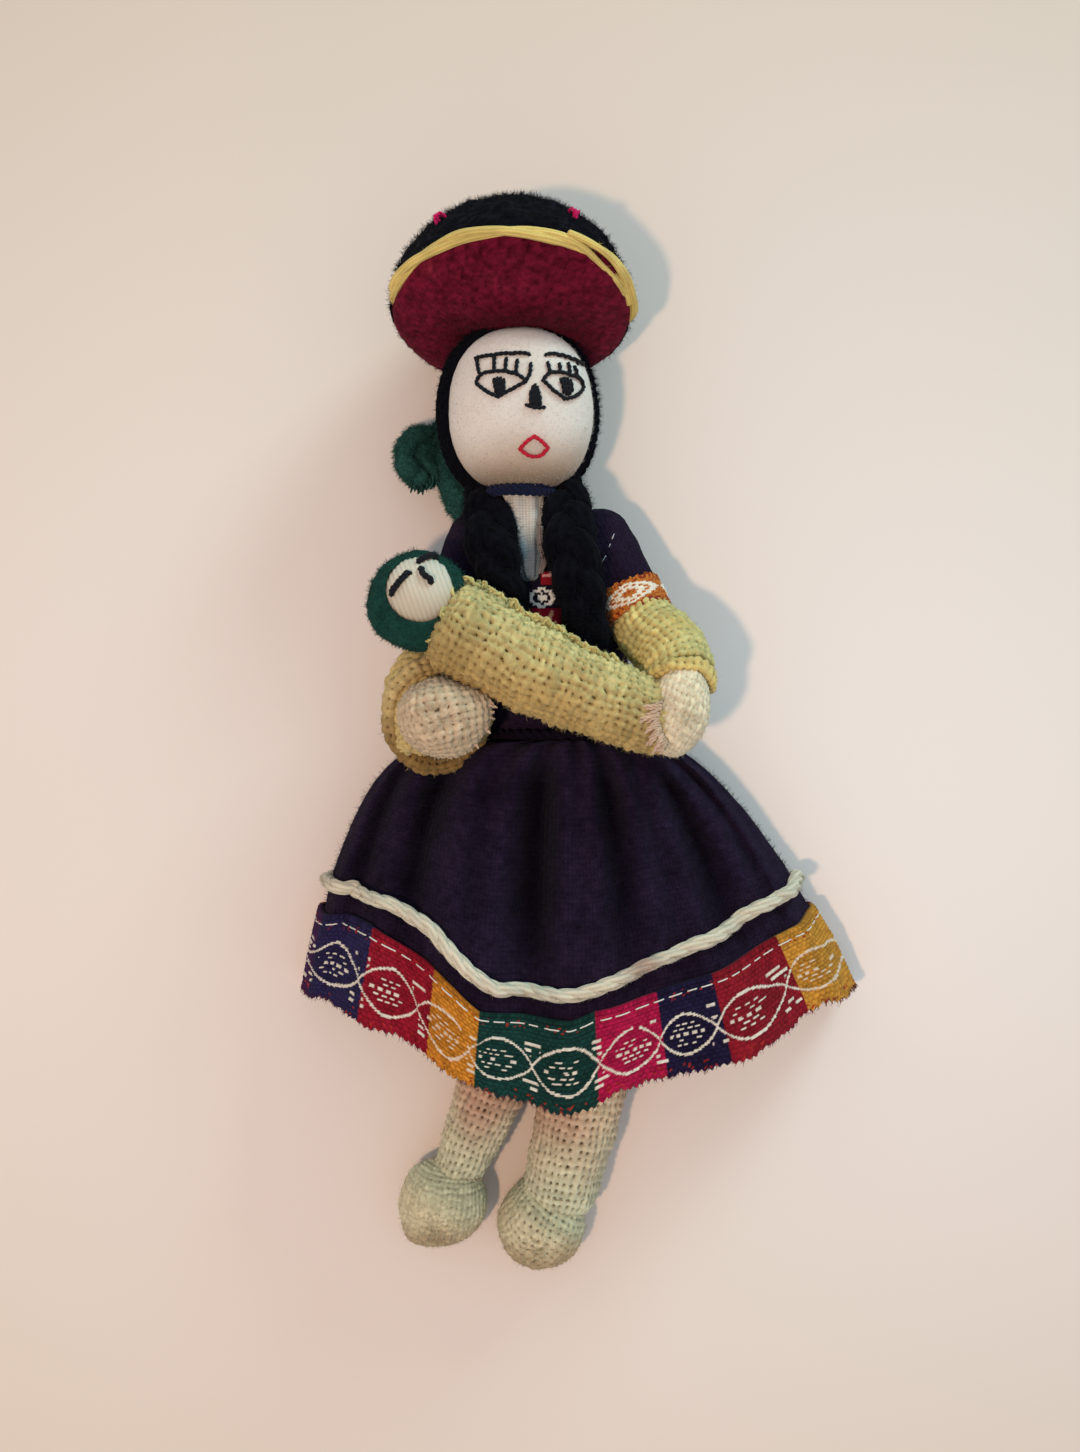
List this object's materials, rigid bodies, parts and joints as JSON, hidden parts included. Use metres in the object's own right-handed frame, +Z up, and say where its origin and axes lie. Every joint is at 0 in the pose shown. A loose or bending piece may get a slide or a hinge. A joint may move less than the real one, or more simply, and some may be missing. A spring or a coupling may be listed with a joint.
{
  "type": "cloth folk art doll",
  "caption": "Hand-sewn cloth doll in Andean dress, lying on its back, with a round felt hat, wool braids, a gathered skirt with a woven hem band, and a wrapped baby in its arms.",
  "frame": {"origin": "on the table under the middle of the doll, which lies on its back", "axes": "+Z up from the table and out of the doll's front, +Y towards the head, +X towards the doll's left"},
  "size_m": [0.1056, 0.1962, 0.0422],
  "materials": {
    "cream_cloth": "matte",
    "black_wool": "matte",
    "black_felt": "matte",
    "wine_felt": "matte",
    "yellow_yarn": "matte",
    "pink_yarn": "matte",
    "black_thread": "matte",
    "red_thread": "matte",
    "navy_yarn": "matte",
    "dark_wool": "matte",
    "woven_band": "matte",
    "white_yarn": "matte",
    "green_felt": "matte",
    "mustard_weave": "matte",
    "beige_weave": "matte",
    "stuffing": "matte"
  },
  "bodies": {
    "torso": {"torso_cover": "cream_cloth", "torso_stuffing": "stuffing", "bodice": "dark_wool", "skirt": "dark_wool", "skirt_trim_yarn": "white_yarn", "skirt_hem_band": "woven_band", "waist_cord": "navy_yarn", "braid_left": "black_wool", "braid_right": "black_wool", "neck": "cream_cloth", "chest_panel": "woven_band", "shawl_knot": "green_felt"},
    "neck": {"neck_tie": "navy_yarn"},
    "head": {"head_cover": "cream_cloth", "head_stuffing": "stuffing", "hair_cap": "black_wool", "hat_crown": "black_felt", "hat_underside": "wine_felt", "hat_stuffing": "stuffing", "hat_edge_yarn": "yellow_yarn", "hat_stitch_left": "pink_yarn", "hat_stitch_right": "pink_yarn", "brow_left": "black_thread", "brow_right": "black_thread", "eye_left": "black_thread", "eye_right": "black_thread", "nose": "black_thread", "mouth": "red_thread"},
    "arms": {"baby_head": "cream_cloth", "baby_bundle": "mustard_weave", "baby_stuffing": "stuffing", "baby_hood": "green_felt", "hand_left": "beige_weave", "hand_right": "beige_weave", "cuff_left": "woven_band", "cuff_right": "woven_band", "sleeve_left": "dark_wool", "sleeve_right": "dark_wool", "forearm_left": "mustard_weave", "forearm_right": "mustard_weave", "baby_eye_left": "black_thread", "baby_eye_right": "black_thread", "baby_nose": "black_thread"},
    "leg_left": {"leg_left": "beige_weave", "foot_left": "beige_weave"},
    "leg_right": {"leg_right": "beige_weave", "foot_right": "beige_weave"}
  },
  "joints": [
    {"name": "head_nod", "type": "hinge", "parent": "torso", "child": "neck", "pos_m": [-0.01095, 0.04626, 0.0202], "axis": [1, 0, 0], "range_deg": [-6, 10]},
    {"name": "head_turn", "type": "hinge", "parent": "neck", "child": "head", "pos_m": [-0.01095, 0.06116, 0.0202], "axis": [0, 1, 0], "range_deg": [-25, 25]},
    {"name": "arms_lift", "type": "hinge", "parent": "torso", "child": "arms", "pos_m": [-0.00175, 0.03896, 0.0132], "axis": [-1, 0, 0], "range_deg": [0, 15]},
    {"name": "leg_left_swing", "type": "hinge", "parent": "torso", "child": "leg_left", "pos_m": [0.00525, -0.0134, 0.01], "axis": [-1, 0, 0], "range_deg": [0, 9]},
    {"name": "leg_right_swing", "type": "hinge", "parent": "torso", "child": "leg_right", "pos_m": [-0.00875, -0.0134, 0.01], "axis": [-1, 0, 0], "range_deg": [0, 9]}
  ]
}
